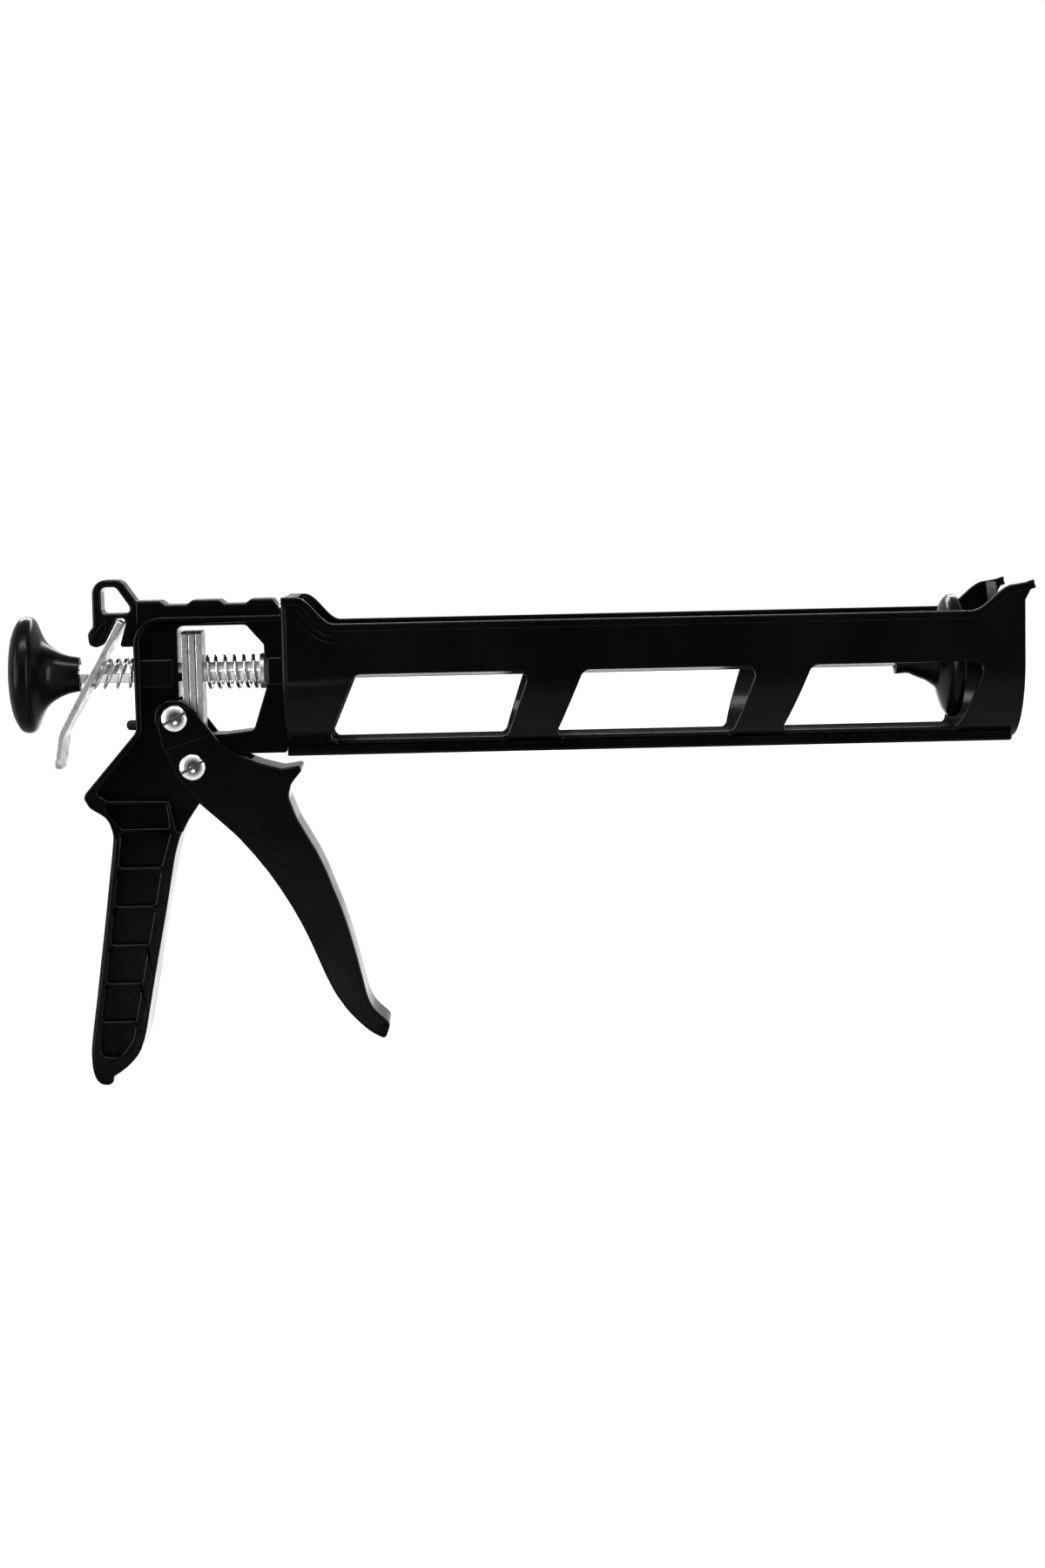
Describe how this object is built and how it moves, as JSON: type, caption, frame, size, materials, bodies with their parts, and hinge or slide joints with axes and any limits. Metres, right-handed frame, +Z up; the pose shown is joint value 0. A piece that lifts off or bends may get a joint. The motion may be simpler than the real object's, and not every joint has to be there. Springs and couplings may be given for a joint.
{
  "type": "caulking gun",
  "caption": "Hand-held caulking gun: open half-tube cradle with side windows, ratcheting hex rod with plunger, squeeze trigger, pistol handle and spring-loaded thumb release.",
  "frame": {"origin": "middle of the hand grip, in the gun's middle plane", "axes": "+X forward to the nozzle end, parallel to the rod; +Z up; +Y to the gun's left"},
  "size_m": [0.3313, 0.0546, 0.1648],
  "materials": {
    "black_plastic": "glossy moulded",
    "black_rubber": "matte",
    "bright_steel": "bright drawn",
    "zinc_steel": "zinc plated",
    "chrome": "polished"
  },
  "bodies": {
    "gun_frame": {"frame": "black_plastic", "cradle": "black_plastic", "cradle_screw_1": "zinc_steel", "cradle_screw_2": "zinc_steel", "cradle_screw_3": "zinc_steel", "cradle_screw_4": "zinc_steel", "pivot_screw": "chrome", "pivot_barrel_nut": "chrome", "lever_stop_peg": "black_rubber", "main_spring_washer": "zinc_steel", "main_spring": "bright_steel", "release_spring": "bright_steel"},
    "push_rod": {"plunger_rod": "bright_steel", "plunger_disc": "black_plastic", "plunger_washer": "zinc_steel", "plunger_nut": "zinc_steel", "pull_knob": "black_plastic"},
    "drive_plates": {"drive_plate_rear": "zinc_steel", "drive_plate_middle": "zinc_steel", "drive_plate_front": "zinc_steel"},
    "release": {"release_lever": "zinc_steel"},
    "squeeze_trigger": {"trigger": "black_plastic", "drive_pin_screw": "chrome", "drive_pin_barrel_nut": "chrome"}
  },
  "joints": [
    {"name": "trigger_pull", "type": "hinge", "parent": "gun_frame", "child": "squeeze_trigger", "pos_m": [0.0232, 0, 0.0545], "axis": [0, 1, 0], "range_deg": [0, 35], "stiffness_Nm_per_rad": 0.5, "springref_deg": -17.19},
    {"name": "drive_slide", "type": "slide", "parent": "gun_frame", "child": "drive_plates", "axis": [1, 0, 0], "range_m": [0, 0.0102], "deforming": ["main_spring"]},
    {"name": "rod_slide", "type": "slide", "parent": "gun_frame", "child": "push_rod", "axis": [1, 0, 0], "range_m": [-0.19, 0]},
    {"name": "release_press", "type": "hinge", "parent": "gun_frame", "child": "release", "pos_m": [0.0005, 0, 0.1011], "axis": [0, -1, 0], "range_deg": [0, 13], "stiffness_Nm_per_rad": 0.08, "springref_deg": -22.92, "deforming": ["release_spring"]}
  ],
  "couplings": [
    {"joint": "drive_slide", "follows": "trigger_pull", "m_per_rad": 0.016516}
  ]
}
